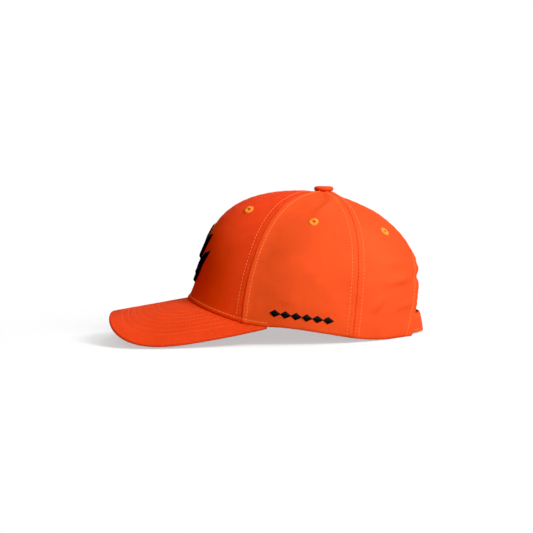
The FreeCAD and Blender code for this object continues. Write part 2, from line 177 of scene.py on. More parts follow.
def crown_normal(azimuth, climb):
    step, rise = 0.4, 0.002
    across = crown_face(azimuth + step, climb) - crown_face(azimuth - step, climb)
    along = crown_face(azimuth, climb + rise) - crown_face(azimuth, climb - rise)
    normal = unit(np.cross(along, across))
    inside = crown_face(azimuth, climb) - np.array([apex_back, 0.0, 40.0])
    sign = np.where((normal * inside).sum(-1, keepdims=True) < 0, -1.0, 1.0)
    return normal * sign


def bisect(test, low, high, shape, steps=36):
    """Elementwise smallest value for which the test holds."""
    low = np.full(shape, float(low))
    high = np.full(shape, float(high))
    for _ in range(steps):
        middle = (low + high) / 2
        hit = test(middle)
        high = np.where(hit, middle, high)
        low = np.where(hit, low, middle)
    return high


def climb_at_rise(azimuth, rise):
    azimuth = np.asarray(azimuth, float)
    target = rim_height(azimuth) + rise
    return bisect(lambda c: meridian(azimuth, c)[1] > target, -0.05, 0.9999, azimuth.shape)


def climb_at_radius(azimuth, radius):
    azimuth = np.asarray(azimuth, float)
    return bisect(lambda c: (c > 0.5) & (meridian(azimuth, c)[0] < radius), -0.05, 0.9999, azimuth.shape)


def azimuth_at_side(side_y, climb):
    """Azimuth at the back whose point lies side_y from the middle plane, left side negative y."""
    side_y = np.asarray(side_y, float)
    climb = np.asarray(climb, float)
    shape = np.broadcast_shapes(side_y.shape, climb.shape)
    found = bisect(lambda a: np.abs(crown_face(a, climb)[..., 1]) <= np.abs(side_y), 90.0, 180.0, shape)
    return np.where(side_y > 0, -found, found)


def arch_azimuth(climb):
    """Azimuth of the edge of the rear opening at a climb, 180 above it."""
    climb = np.asarray(climb, float)

    def inside(azimuth):
        point = crown_face(azimuth, climb)
        share = np.clip(point[..., 2] / arch_height, 0, 1)
        half = arch_half * (1 - share ** arch_power) ** (1 / arch_power)
        return np.abs(point[..., 1]) <= half
    return bisect(inside, 100.0, 180.0, climb.shape)


def seam_azimuth(number, side, climb):
    base = (0.0, front_seam, rear_seam, 180.0)[number]
    swing = (0.0 * climb, front_swing * smooth(climb / 0.45), rear_swing * climb, 0.0 * climb)[number]
    return side * (base + swing)


# ------------------------------------------------------------------ relief of the cloth
def waves(points, scale, seed, count=7):
    """Smooth irregular waves, about -1 to 1, with the given wavelength in mm."""
    rng = np.random.default_rng(seed)
    total = np.zeros(points.shape[:-1])
    for _ in range(count):
        direction = unit(rng.normal(size=3))
        length = scale * rng.uniform(0.7, 1.5)
        phase = rng.uniform(0, WAVE)
        total += np.sin(points @ direction * (WAVE / length) + phase)
    return total / math.sqrt(count)


# the four kinds of seam: 0 front middle, 1 front to side, 2 side to rear, 3 rear middle
row_offset = {0: 4.2, 1: 4.8, 2: 5.2, 3: 4.6}
seam_gap = {0: 0.08, 1: 0.16, 2: 0.04, 3: 0.08}
valley_depth = {0: 0.6, 1: 0.0, 2: 0.12, 3: 0.5}
ridge_height = {0: 0.45, 1: 0.25, 2: 0.3, 3: 0.45}
samples = np.linspace(0, 0.99, 400)
stitch_pitch = 3.1
pucker_pitch = 8.3
fold_step = 0.6


def row_distance(offset, radius):
    """Distance of a stitch row from its seam, drawn in where the seams meet at the top."""
    return np.minimum(offset, 0.24 * radius + 0.6)


def seam_length(number, side):
    line = crown_face(seam_azimuth(number, side, samples), samples)
    return np.concatenate([[0], np.cumsum(np.linalg.norm(np.diff(line, axis=0), axis=1))])


def seam_relief(number, side, azimuth, climb):
    """Rise of the sewn-down edges beside one seam, with its stitch rows and puckers."""
    radius = meridian(azimuth, climb)[0]
    turn = (azimuth - seam_azimuth(number, side, climb) + 180) % 360 - 180
    gap = np.radians(turn) * radius
    far = np.abs(gap)
    along = np.interp(climb, samples, seam_length(number, side))
    row = row_distance(row_offset[number], radius)
    height = ridge_height[number] / (1 + np.exp((far - row - 0.2) / 0.6))
    behind = np.maximum(gap * side, 0)
    if number == 1:
        # the side panel's folded edge stands over the front panel
        height += fold_step * (1 - np.exp(-(behind / 0.6) ** 2)) * np.exp(-(behind / 6.0) ** 2)
    else:
        height -= valley_depth[number] * np.exp(-(gap / 0.45) ** 2)
    dip = 0.72 + 0.28 * np.cos(WAVE * along / stitch_pitch)
    height -= 0.26 * dip * np.exp(-((far - row) / 0.6) ** 2)
    pucker = np.sin(WAVE * along / pucker_pitch + 1.7 * np.sin(along / 21.0) + number)
    height += 0.10 * pucker * np.exp(-((far - row) / 5.0) ** 2)
    return height


creases = (
    # (from azimuth, climb), (to azimuth, climb), height, half width, 1 for the wearer's left or -1
    ((128.0, 0.88), (78.0, 0.55), 2.1, 4.4, 1),
    ((112.0, 0.93), (94.0, 0.72), 1.0, 3.2, 1),
    ((88.5, 0.235), (77.0, 0.195), 0.8, 3.0, 1),
    ((71.0, 0.115), (64.0, 0.095), 0.7, 2.8, 1),
    ((152.0, 0.24), (123.0, 0.185), 2.0, 3.8, 1),
    ((148.0, 0.32), (127.0, 0.27), 1.2, 4.2, 1),
    ((124.5, 0.14), (116.0, 0.085), 1.3, 3.0, 1),
    ((151.0, 0.13), (130.0, 0.095), 1.2, 3.4, 1),
    ((120.0, 0.90), (84.0, 0.62), 1.8, 4.6, -1),
    ((94.0, 0.26), (80.0, 0.21), 0.8, 3.2, -1),
    ((148.0, 0.27), (121.0, 0.20), 1.4, 4.0, -1),
    ((132.0, 0.13), (119.0, 0.09), 0.8, 3.2, -1),
)


def crease_relief(points):
    total = np.zeros(points.shape[:-1])
    for start, end, height, width, side in creases:
        share = np.linspace(0, 1, 24)
        azimuth = side * (start[0] + (end[0] - start[0]) * share)
        line = crown_face(azimuth, start[1] + (end[1] - start[1]) * share)
        ends = np.sin(share * math.pi) ** 0.6
        best = np.zeros(points.shape[:-1])
        for place, strength in zip(line, ends):
            away = ((points - place) ** 2).sum(-1) / width ** 2
            best = np.maximum(best, strength * np.exp(-away))
        total += height * best
    return total


def soft_relief(azimuth, points):
    """Loose cloth: almost none on the stiff front, more at the sides and the back."""
    loose = smooth((np.abs(azimuth) - 38.0) / 12.0)
    slow = 0.5 + 0.5 * np.tanh(waves(points, 52.0, 3))
    quick = waves(points, 17.0, 8)
    return loose * (0.75 * slow + 0.09 * quick + crease_relief(points)) + 0.02 * quick


arch_line_climb = np.concatenate([np.linspace(0, 0.2, 60), np.linspace(0.2, 0.36, 240)])
arch_line_azimuth = arch_azimuth(arch_line_climb)
arch_line = crown_face(arch_line_azimuth, arch_line_climb)
arch_line = arch_line[arch_line_azimuth < 179.9]


def arch_distance(points):
    mirrored = points.copy()
    mirrored[..., 1] = -np.abs(mirrored[..., 1])
    flat = mirrored.reshape(-1, 3)
    out = np.full(len(flat), 99.0)
    near = (flat[:, 0] > 50) & (flat[:, 2] < arch_height + 25)
    gaps = ((flat[near][:, None, :] - arch_line[None, ::3, :]) ** 2).sum(-1)
    out[near] = np.sqrt(gaps.min(1))
    return out.reshape(points.shape[:-1])


# ripples of the cloth beside the rear opening: height above the table, spread, size
arch_ripples = ((57.0, 3.2, 1.3), (50.3, 2.6, -1.3), (43.0, 5.5, 0.9), (20.0, 4.0, -0.6))
arch_row = 7.0
hem_row = 3.6
corner_azimuth = math.degrees(math.atan2(corner_y, apex_back - bill_corner_x))


def crown_relief(azimuth, climb, seams):
    """Height in mm of the outside of the cloth over the plain crown surface."""
    points = crown_face(azimuth, climb)
    height = soft_relief(azimuth, points)
    for number, side in seams:
        height = height + seam_relief(number, side, azimuth, climb)
    above = np.linalg.norm(points - crown_face(azimuth, np.zeros_like(climb)), axis=-1)
    front = 1 - smooth((np.abs(azimuth) - corner_azimuth + 3) / 6.0)
    roll = 0.4 / (1 + np.exp((above - hem_row - 0.1) / 0.45))
    roll -= 0.28 * np.exp(-((above - hem_row) / 0.6) ** 2)
    height = height + front * roll
    height = height - (0.5 + 0.4 * front) * np.clip(1 - above / (1.2 + front), 0, 1) ** 2
    if any(number == 3 for number, side in seams):
        edge = arch_distance(points)
        height = height + 0.45 / (1 + np.exp((edge - arch_row) / 0.4))
        height = height - 0.32 * np.exp(-((edge - arch_row) / 0.6) ** 2)
        height = height - 0.45 * np.clip(1 - edge / 1.2, 0, 1) ** 2
        up = points[..., 2]
        flare = 0.9 * smooth((55 - up) / 30)
        for level, spread, size in arch_ripples:
            level = level + np.where(points[..., 1] > 0, 3.5, 0.0)
            flare = flare + size * np.exp(-((up - level) / spread) ** 2)
        height = height + flare * np.exp(-(edge / 9.0) ** 2)
    return height


def crown_outside(azimuth, climb, seams, lift=0.0):
    azimuth, climb = np.broadcast_arrays(np.asarray(azimuth, float), np.asarray(climb, float))
    normal = crown_normal(azimuth, climb)
    height = crown_relief(azimuth, climb, seams) + lift
    return crown_face(azimuth, climb) + normal * height[..., None], normal


# ------------------------------------------------------------------ materials
def srgb(r, g, b):
    def one(value):
        value = value / 255
        return value / 12.92 if value <= 0.04045 else ((value + 0.055) / 1.055) ** 2.4
    return one(r), one(g), one(b), 1.0


class Nodes:
    """Small helper that builds a node tree."""

    def __init__(self, name):
        self.material = bpy.data.materials.new(name)
        self.material.use_nodes = True
        self.tree = self.material.node_tree
        self.shader = self.tree.nodes["Principled BSDF"]

    def add(self, kind, inputs=None, **settings):
        node = self.tree.nodes.new(kind)
        for key, value in settings.items():
            setattr(node, key, value)
        for key, value in (inputs or {}).items():
            if isinstance(value, bpy.types.NodeSocket):
                self.tree.links.new(value, node.inputs[key])
            else:
                node.inputs[key].default_value = value
        return node

    def math(self, operation, first, second=0.0):
        return self.add("ShaderNodeMath", {0: first, 1: second}, operation=operation).outputs[0]

    def noise(self, place, scale, detail):
        return self.add("ShaderNodeTexNoise", {"Vector": place, "Scale": scale, "Detail": detail}).outputs[0]

    def ramp(self, value, dark, light, start=0.0, stop=1.0):
        """Colour that runs from dark at the start value to light at the stop value."""
        colour_ramp = self.add("ShaderNodeValToRGB", {0: value})
        for element, place, colour in zip(colour_ramp.color_ramp.elements, (start, stop), (dark, light)):
            element.position = place
            element.color = colour
        return colour_ramp.outputs[0]

    def link(self, source, target):
        self.tree.links.new(source, self.shader.inputs[target])

    def set(self, **values):
        """Constant shader values; an underscore stands for a space."""
        for name, value in values.items():
            self.shader.inputs[name.replace("_", " ")].default_value = value


def shaded(colour, factor):
    """A colour made lighter or darker, opaque."""
    return tuple(min(1.0, c * factor) for c in colour[:3]) + (1.0,)


def cloth_material(name, colour, roughness=0.9, sheen=0.03, pitch=0.75, depth=0.0002, vary=0.10,
                   mapped=True, twill=True, weave_share=0.12):
    """Woven cloth: twill or plain weave, slubs, slow colour drift and a soft sheen."""
    n = Nodes(name)
    if mapped:
        place = n.add("ShaderNodeUVMap", uv_map="weave").outputs[0]
    else:
        place = n.add("ShaderNodeTexCoord").outputs["Object"]
        place = n.add("ShaderNodeVectorMath", {0: place, 3: 1000.0}, operation="SCALE").outputs[0]
    parts = n.add("ShaderNodeSeparateXYZ", {0: place}).outputs
    cross = parts[1] if mapped else n.math("ADD", parts[1], parts[2])
    turn = 6.2832 / pitch
    warp = n.math("SINE", n.math("MULTIPLY", n.math("ADD", parts[0], cross), turn))
    weft = n.math("SINE", n.math("MULTIPLY", n.math("SUBTRACT", parts[0], cross), turn * 1.9))
    if not twill:
        warp = n.math("SINE", n.math("MULTIPLY", parts[0], turn))
        weft = n.math("SINE", n.math("MULTIPLY", cross, turn))
    weave = n.math("ADD", n.math("MULTIPLY", warp, 0.6), n.math("MULTIPLY", weft, 0.4))
    body = n.add("ShaderNodeTexCoord").outputs["Object"]
    slow = n.noise(body, 26.0, 3.0)
    slub = n.noise(body, 900.0, 2.0)
    shade = n.math("ADD", n.math("MULTIPLY", slow, 0.55), n.math("MULTIPLY", slub, 0.25))
    shade = n.math("ADD", shade, n.math("MULTIPLY", weave, weave_share))
    light = shaded(colour, 1 + vary)
    n.link(n.ramp(shade, shaded(colour, 1 - 2.2 * vary), light, 0.15, 0.62), "Base Color")
    rough = n.math("ADD", n.math("MULTIPLY", slub, 0.12), roughness - 0.06)
    n.link(rough, "Roughness")
    fuzz = n.math("ADD", weave, n.math("MULTIPLY", slub, 1.4))
    bump = n.add("ShaderNodeBump", {"Height": fuzz, "Strength": 0.55, "Distance": depth})
    n.link(bump.outputs[0], "Normal")
    n.set(Sheen_Weight=sheen, Sheen_Roughness=0.45, Sheen_Tint=light, Specular_IOR_Level=0.05)
    return n.material


def thread_material(name, colour, shine=0.5, vary=0.12):
    """Twisted sewing or embroidery thread with a satin gloss."""
    n = Nodes(name)
    body = n.add("ShaderNodeTexCoord").outputs["Object"]
    strand = n.noise(body, 1800.0, 3.0)
    n.link(n.ramp(strand, shaded(colour, 1 - 2 * vary), shaded(colour, 1 + vary), 0.3, 0.7), "Base Color")
    bump = n.add("ShaderNodeBump", {"Height": strand, "Strength": 0.4, "Distance": 0.0001})
    n.link(bump.outputs[0], "Normal")
    n.set(Roughness=shine, Specular_IOR_Level=0.2)
    return n.material


def metal_material(name, colour):
    n = Nodes(name)
    body = n.add("ShaderNodeTexCoord").outputs["Object"]
    marks = n.noise(body, 600.0, 4.0)
    n.link(n.ramp(marks, shaded(colour, 0.8), colour), "Base Color")
    n.link(n.math("ADD", n.math("MULTIPLY", marks, 0.2), 0.25), "Roughness")
    n.set(Metallic=1.0)
    return n.material


orange = (0.86, 0.095, 0.026, 1.0)
cloth = cloth_material("cap_twill", orange)
# painted shade: a darker, redder copy of the cap cloth colour for the front panels, standing in for the shade
# on the front; the cap is one cloth
front_cloth_painted_shade = cloth_material("cap_twill_front_painted_shade", (0.85, 0.067, 0.021, 1.0))
# painted shade: the bill colour is a darker, redder copy of the cap cloth colour, standing in for shade; only
# its weave settings are its own
bill_cloth_painted_shade = cloth_material("bill_twill_painted_shade", (0.84, 0.070, 0.020, 1.0), pitch=1.1, depth=0.0003, weave_share=0.3)
tape_cloth = cloth_material("seam_tape", srgb(222, 74, 30), pitch=0.6, twill=False)
band_cloth = cloth_material("sweatband_cotton", srgb(226, 78, 33), pitch=0.9, depth=0.00015)
node_cloth = cloth_material("binding_cloth", srgb(224, 74, 30), mapped=False)
buckram = cloth_material("buckram", srgb(226, 222, 212), pitch=1.3, depth=0.0003, sheen=0.05, twill=False,
                         vary=0.16)
pad_cloth = cloth_material("band_padding", srgb(225, 225, 220), twill=False, mapped=False)
label_cloth = cloth_material("label_satin", srgb(240, 240, 236), roughness=0.5, pitch=0.4, depth=0.00005,
                             vary=0.03)
loop_cloth = cloth_material("loop_pile", srgb(222, 74, 32), roughness=0.95, pitch=0.5, depth=0.0004, vary=0.2)
hook_cloth = cloth_material("hook_pile", srgb(214, 66, 28), roughness=0.5, sheen=0.0, pitch=1.1, depth=0.0004,
                            vary=0.2, twill=False)
top_thread = thread_material("topstitch_thread", (0.97, 0.26, 0.08, 1.0), shine=0.7)
bill_thread = thread_material("bill_thread", (0.88, 0.125, 0.04, 1.0), shine=0.7)
# real seam thread; its deep red, darker than the topstitching, is painted shade of the seam valley
valley_thread_painted_shade = thread_material("seam_thread_painted_shade", (0.75, 0.035, 0.011, 1.0), shine=0.7)
eyelet_thread = thread_material("eyelet_thread", srgb(250, 146, 54), shine=0.45)
black_thread = thread_material("embroidery_thread", (0.006, 0.006, 0.0065, 1.0), shine=0.55, vary=0.3)
# painted shade: near-black colour for the walls of the eyelet holes, standing in for the dark inside of the
# cap seen through them
hole_painted_shade = thread_material("eyelet_hole_painted_shade", (0.03, 0.006, 0.003, 1.0), shine=0.9)
metal = metal_material("button_metal", srgb(205, 205, 208))


# ------------------------------------------------------------------ mesh building
def grid_faces(rows, columns, offset=0):
    index = np.arange(rows * columns).reshape(rows, columns) + offset
    a, b = index[:-1, :-1].ravel(), index[1:, :-1].ravel()
    c, d = index[1:, 1:].ravel(), index[:-1, 1:].ravel()
    return np.stack([a, b, c, d], 1)


def volume_sign(points, faces):
    a, b, c, d = (points[faces[:, k]] for k in range(4))
    one = (a * np.cross(b, c)).sum(1).sum()
    two = (a * np.cross(c, d)).sum(1).sum()
    return 1 if one + two >= 0 else -1


def build(name, points, faces, material, uv=None, closed=True, sharp=False):
    """Mesh object from points in mm; a closed mesh gets its faces turned outwards."""
    points = np.asarray(points, float).reshape(-1, 3)
    if closed and volume_sign(points, faces) < 0:
        faces = faces[:, ::-1]
    mesh = bpy.data.meshes.new(name)
    mesh.from_pydata((points * MM).tolist(), [], faces.tolist())
    if uv is not None:
        layer = mesh.uv_layers.new(name="weave")
        corners = np.zeros(len(mesh.loops), np.int32)
        mesh.loops.foreach_get("vertex_index", corners)
        layer.data.foreach_set("uv", np.asarray(uv, float).reshape(-1, 2)[corners].ravel())
    mesh.polygons.foreach_set("use_smooth", [not sharp] * len(mesh.polygons))
    mesh.materials.append(material)
    mesh.update()
    piece = bpy.data.objects.new(name, mesh)
    bpy.context.scene.collection.objects.link(piece)
    return piece


def surface_uv(grid):
    """Distances along the rows and the columns of a grid, in mm."""
    across = np.linalg.norm(np.diff(grid, axis=1), axis=2)
    along = np.linalg.norm(np.diff(grid, axis=0), axis=2)
    u = np.concatenate([np.zeros((grid.shape[0], 1)), np.cumsum(across, 1)], 1)
    u -= u[:, -1:] / 2
    v = np.concatenate([np.zeros((1, grid.shape[1])), np.cumsum(along, 0)], 0)
    return np.stack([u, v], -1)


def shell(name, outer, inner, material, bulge=0.25, crisp=False):
    """Closed sheet between two matching grids, with rounded edges."""
    rows, columns = outer.shape[:2]
    count = rows * columns
    uv = surface_uv(outer)
    loop = [(0, c) for c in range(columns)] + [(r, columns - 1) for r in range(1, rows)]
    loop += [(rows - 1, c) for c in range(columns - 2, -1, -1)] + [(r, 0) for r in range(rows - 2, 0, -1)]
    loop = np.array(loop)
    low = outer[loop[:, 0], loop[:, 1]]
    high = inner[loop[:, 0], loop[:, 1]]
    inset_r = np.clip(loop[:, 0], 1, rows - 2)
    inset_c = np.clip(loop[:, 1], 1, columns - 2)
    away = unit(low - outer[inset_r, inset_c])
    thick = np.linalg.norm(low - high, axis=1, keepdims=True)
    middle = (low + high) / 2 + away * thick * bulge
    points = np.concatenate([outer.reshape(-1, 3), inner.reshape(-1, 3), middle])
    faces = [grid_faces(rows, columns), grid_faces(rows, columns, count)[:, ::-1]]
    flat = loop[:, 0] * columns + loop[:, 1]
    following = np.roll(flat, -1)
    mid = np.arange(len(loop)) + 2 * count
    mid_next = np.roll(mid, -1)
    faces.append(np.stack([flat, mid, mid_next, following], 1)[:, ::-1])
    faces.append(np.stack([mid, flat + count, following + count, mid_next], 1)[:, ::-1])
    all_uv = np.concatenate([uv.reshape(-1, 2), uv.reshape(-1, 2), uv[loop[:, 0], loop[:, 1]]])
    piece = build(name, points, np.concatenate(faces), material, all_uv)
    if crisp:
        smooth_flags = np.ones(len(piece.data.polygons), bool)
        smooth_flags[-2 * len(loop):] = False
        piece.data.polygons.foreach_set("use_smooth", smooth_flags)
    return piece


def finish_piece(piece, body, nodes):
    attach(piece, body)
    if nodes:
        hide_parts(*nodes)
    return piece


def path_length(path):
    """Distance along a path at each of its points, in mm."""
    return np.concatenate([[0], np.cumsum(np.linalg.norm(np.diff(path, axis=0), axis=1))])


def on_path(spot, along, values):
    """Values of a path at given distances along it."""
    return np.stack([np.interp(spot, along, values[:, k]) for k in range(3)], 1)


def stitches(paths, material, name, body, pitch=3.05, length=1.75, radius=0.31, raise_by=0.11):
    """Rows of sewn stitches: each path is points and normals on the cloth, in mm."""
    # each ring of one stitch: place along it, rise, thickness
    profile = ((-0.5, -0.34, 0.55), (-0.34, 0.55, 0.9), (0.0, 1.0, 1.0),
               (0.34, 0.55, 0.9), (0.5, -0.34, 0.55))
    sides = 6
    all_points, all_faces, start = [], [], 0
    for path, normals in paths:
        along = path_length(path)
        places = np.arange(pitch / 2, along[-1], pitch)
        if not len(places):
            continue
        rings = []
        for shift, rise, thick in profile:
            spot = np.clip(places + shift * length, 0, along[-1])
            up = unit(on_path(spot, along, normals))
            ahead = on_path(spot + 0.2, along, path) - on_path(spot - 0.2, along, path)
            side = unit(np.cross(ahead, up))
            centre = on_path(spot, along, path) + up * (raise_by * rise + 0.02)
            for turn in range(sides):
                angle = 2 * math.pi * turn / sides
                reach = math.cos(angle) * side + math.sin(angle) * up
                rings.append(centre + reach * radius * thick)
        block = np.stack(rings, 1)
        count, per = block.shape[:2]
        faces = []
        for ring in range(len(profile) - 1):
            for turn in range(sides):
                a, b = ring * sides + turn, ring * sides + (turn + 1) % sides
                faces.append((a, b, b + sides, a + sides))
        last = (len(profile) - 1) * sides
        faces += [(3, 2, 1, 0), (5, 4, 3, 0)]
        faces += [(last, last + 1, last + 2, last + 3), (last, last + 3, last + 4, last + 5)]
        faces = np.array(faces)
        bases = start + per * np.arange(count)
        all_faces.append((faces[None] + bases[:, None, None]).reshape(-1, 4))
        all_points.append(block.reshape(-1, 3))
        start += count * per
    piece = build(name, np.concatenate(all_points), np.concatenate(all_faces), material)
    return finish_piece(piece, body, ())


def ring_faces(count, turns, closed):
    """Quads between stacked rings of points; a closed stack joins its last ring to its first."""
    index = np.arange(count * turns).reshape(count, turns)
    below = np.roll(index, -1, axis=0)
    faces = np.stack([index, np.roll(index, -1, 1), np.roll(below, -1, 1), below], -1)
    return (faces if closed else faces[:-1]).reshape(-1, 4)


def joined_meshes(meshes):
    """Points in metres and quads of several meshes as one list."""
    points, faces, start = [], [], 0
    for mesh in meshes:
        places = np.zeros(len(mesh.vertices) * 3)
        mesh.vertices.foreach_get("co", places)
        corners = np.zeros(len(mesh.loops), np.int64)
        mesh.loops.foreach_get("vertex_index", corners)
        points.append(places.reshape(-1, 3))
        faces.append(corners.reshape(-1, 4) + start)
        start += len(mesh.vertices)
    return points, faces


def paint_node(node, material):
    """Gives a CAD node that stays visible its own material."""
    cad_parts[node].data.materials.clear()
    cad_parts[node].data.materials.append(material)


# ------------------------------------------------------------------ crown panels
areas = ("front", "side", "rear")
side_names = ((1, "left"), (-1, "right"))
dense = np.concatenate([np.arange(0, 7.4, 0.46 / FINE), [8.2, 9.4]])
hole_radius = 2.4


def panel_columns(width, middle_count):
    """Column places across a row of the given width: dense near both seams."""
    squeeze = np.minimum(1.0, width / 26.0)[:, None]
    left = dense[None] * squeeze
    right = width[:, None] - left[:, ::-1]
    share = np.linspace(0, 1, middle_count + 2)[1:-1][None]
    middle = left[:, -1:] + (right[:, :1] - left[:, -1:]) * share
    return np.concatenate([left, middle, right], 1)


def row_climbs(azimuth, count):
    stop = climb_at_radius(azimuth, hole_radius)
    share = 1 - (1 - np.linspace(0, 1, count)) ** 1.25
    return share[:, None] * stop[None]


def crown_panel(area, side, side_name):
    """One sewn panel as a closed sheet, from seam to seam and from the rim to the button."""
    number = areas.index(area)
    rows = int(165 * FINE)
    middle = int(52 * FINE)
    guess = np.array([side * (front_seam / 2, 74.0, 142.0)[number]])
    climbs = row_climbs(guess, rows)[:, 0]
    if number == 2:
        arch_top = arch_line_climb[len(arch_line) - 1]
        extra = np.linspace(arch_top - 0.012, arch_top + 0.004, 9)
        climbs = np.sort(np.concatenate([climbs, extra]))
    first = seam_azimuth(number, side, climbs)
    last = seam_azimuth(number + 1, side, climbs)
    if number == 2:
        last = np.where(climbs < 0.5, side * arch_azimuth(climbs), last)
    radius = meridian((first + last) / 2, climbs)[0]
    gap_first = seam_gap[number]
    gap_last = seam_gap[number + 1]
    width = np.abs(np.radians(last - first)) * radius - gap_first - gap_last
    spots = panel_columns(width, middle) + gap_first
    azimuth = first[:, None] + side * np.degrees(spots / radius[:, None])
    climb = np.broadcast_to(climbs[:, None], azimuth.shape)
    seams = [(number, side), (number + 1, side)]
    outer, normal = crown_outside(azimuth, climb, seams)
    points = crown_face(azimuth, climb)
    lining = panel_thick - 0.45 * soft_relief(azimuth, points)
    inner = points - normal * lining[..., None]
    # the front panels take the darker, redder cloth copy: painted shade
    material = front_cloth_painted_shade if area == "front" else cloth
    piece = shell(area + "_panel_" + side_name + "_cloth", outer, inner, material, crisp=True)
    return finish_piece(piece, "crown", [area + "_panel_" + side_name])


for side, side_name in side_names:
    for area in areas:
        crown_panel(area, side, side_name)


# ------------------------------------------------------------------ stitch rows on the crown
def seams_near(number, side):
    """The seams whose relief reaches the cloth beside one seam."""
    if number == 0:
        return [(0, 1), (1, 1), (1, -1)]
    if number == 3:
        return [(3, 1), (2, 1), (2, -1)]
    return [(number, side), (number - 1, side), (number + 1, side)]


def seam_row(number, side, offset, start, stop, count=260):
    climb = np.linspace(start, stop, count)
    base = seam_azimuth(number, side, climb)
    radius = meridian(base, climb)[0]
    limit = row_distance(abs(offset), radius) * (1 if offset > 0 else -1)
    azimuth = base + np.degrees(limit / radius)
    return crown_outside(azimuth, climb, seams_near(number, side))


crown_rows = []
seam_starts = ((0, 1, 0.05), (1, 1, 0.035), (1, -1, 0.035), (2, 1, 0.006), (2, -1, 0.006), (3, 1, 0.395))
for number, side, start in seam_starts:
    for direction in (1, -1):
        crown_rows.append(seam_row(number, side, direction * row_offset[number], start, 0.955))
corner_stop = corner_azimuth + 1.0
hem_azimuth = np.linspace(-corner_stop, corner_stop, 500)
hem_rim = crown_face(hem_azimuth, np.zeros_like(hem_azimuth))
hem_climb = bisect(lambda c: np.linalg.norm(crown_face(hem_azimuth, c) - hem_rim, axis=-1) > hem_row,
                   0.0, 0.3, hem_azimuth.shape)
crown_rows.append(crown_outside(hem_azimuth, hem_climb, [(0, 1), (1, 1), (1, -1)]))


def arch_offset(distance):
    """Line on the crown at a distance outside the edge of the rear opening."""
    steps = np.linspace(0.0, 1.0, 170)
    angle = math.pi * steps
    power = 2 / arch_power
    y = (arch_half + distance) * np.sign(np.cos(angle)) * np.abs(np.cos(angle)) ** power
    z = (arch_height + distance) * np.sin(angle) ** power
    z = np.maximum(z, 0.8)
    azimuth = np.full(y.shape, 180.0)
    climb = np.full(y.shape, 0.1)
    for _ in range(6):
        climb = bisect(lambda c: meridian(azimuth, c)[1] > z, -0.02, 0.6, y.shape)
        azimuth = np.abs(azimuth_at_side(y, climb)) * np.where(y > 0, -1, 1)
    azimuth = np.where(azimuth < 0, azimuth + 360, azimuth)
    return azimuth, climb


arch_stitch_azimuth, arch_stitch_climb = arch_offset(arch_row)
crown_rows.append(crown_outside(arch_stitch_azimuth, arch_stitch_climb, [(3, 1)]))
stitches(crown_rows, top_thread, "crown_topstitching", "crown")
# stitches of the rear seams sitting in their valleys; their deep red tone is painted shade
valley = []
for side in (1, -1):
    path, normal = seam_row(2, side, 0.05, 0.01, 0.93)
    valley.append((path + normal * 0.22, normal))
stitches(valley, valley_thread_painted_shade, "rear_seam_stitching", "crown",
         pitch=3.0, length=1.45, radius=0.36)


# ------------------------------------------------------------------ bill
def bill_point(across, ahead, lift):
    turn = across / bill_bend
    reach = bill_bend + lift
    out = reach * np.cos(turn) - bill_bend
    x = -half_length - ahead * math.cos(bill_slope) - out * math.sin(bill_slope)
    z = bill_root - ahead * math.sin(bill_slope) + out * math.cos(bill_slope)
    return np.stack(np.broadcast_arrays(x, reach * np.sin(turn), z), -1)


def bill_flat(x, y):
    """Place on the unrolled bill: across its bend and ahead of its root."""
    return bill_bend * np.arcsin(y / bill_bend), bill_sag_and_ahead(x, y)[1]


corner_across, corner_ahead = (float(v) for v in bill_flat(np.array(bill_corner_x), np.array(corner_y)))
tip_part = 0.68


def bill_outer(share, inset):
    angle = np.radians(90) * (1 - np.minimum(share / tip_part, 1.0))
    wide = bill_half_width - inset
    across_tip = wide * np.maximum(np.cos(angle), 0) ** bill_power
    ahead_tip = bill_widest + (bill_length - inset - bill_widest) * np.sin(angle) ** bill_power
    along = 1 - np.maximum(share - tip_part, 0) / (1 - tip_part)
    end = corner_across + 0.3 - inset
    across_side = end + (wide - end) * np.sin(math.pi / 2 * along)
    ahead_side = corner_ahead + (bill_widest - corner_ahead) * along
    side = share >= tip_part
    return np.where(side, across_side, across_tip), np.where(side, ahead_side, ahead_tip)


def bill_inner(share, depth):
    x, y = rim_place(corner_azimuth * share)
    nx, ny = x / half_length ** 2, y / half_width ** 2
    size = np.hypot(nx, ny)
    return bill_flat(x - nx / size * depth, y - ny / size * depth)


def edge_distance(across, ahead):
    """How far a flat bill point lies inside the outline."""
    across = np.abs(across)
    along = (ahead - corner_ahead) / (bill_widest - corner_ahead)
    end = corner_across + 0.3
    side = end + (bill_half_width - end) * np.sin(math.pi / 2 * np.clip(along, 0, 1)) - across
    low = np.zeros(across.shape)
    high = np.full(across.shape, 69.0)
    power = 2 / bill_power
    for _ in range(30):
        middle = (low + high) / 2
        first = np.clip(across / (bill_half_width - middle), 0, 3) ** power
        second = np.clip((ahead - bill_widest) / (bill_length - middle - bill_widest), 0, 3) ** power
        inside = first + second < 1
        low = np.where(inside, middle, low)
        high = np.where(inside, high, middle)
    return np.where(ahead > bill_widest, low, np.maximum(side, 0))


bill_rows = [12.0 + 5.4 * k for k in range(7)]
edge_roll = 1.7


def bill_lift(across, ahead):
    """Relief of a bill cover: grooves under the stitch rows, soft puffs between, rolled edge."""
    inside = edge_distance(across, ahead)
    lift = np.zeros(across.shape)
    for row in bill_rows:
        lift -= 0.26 * np.exp(-((inside - row) / 0.7) ** 2)
    lift += 0.05 * waves(np.stack([across, ahead, 0 * ahead], -1), 11.0, 5)
    lift += 0.10 * waves(np.stack([across, ahead, 0 * ahead], -1), 46.0, 15)
    lift -= 0.12 * np.exp(-((inside - 3.2) / 0.8) ** 2)
    drop = np.clip(1 - inside / edge_roll, 0, 1)
    return lift * (1 - drop), (bill_thick / 2 - 0.03) * (1 - np.sqrt(1 - drop ** 2))


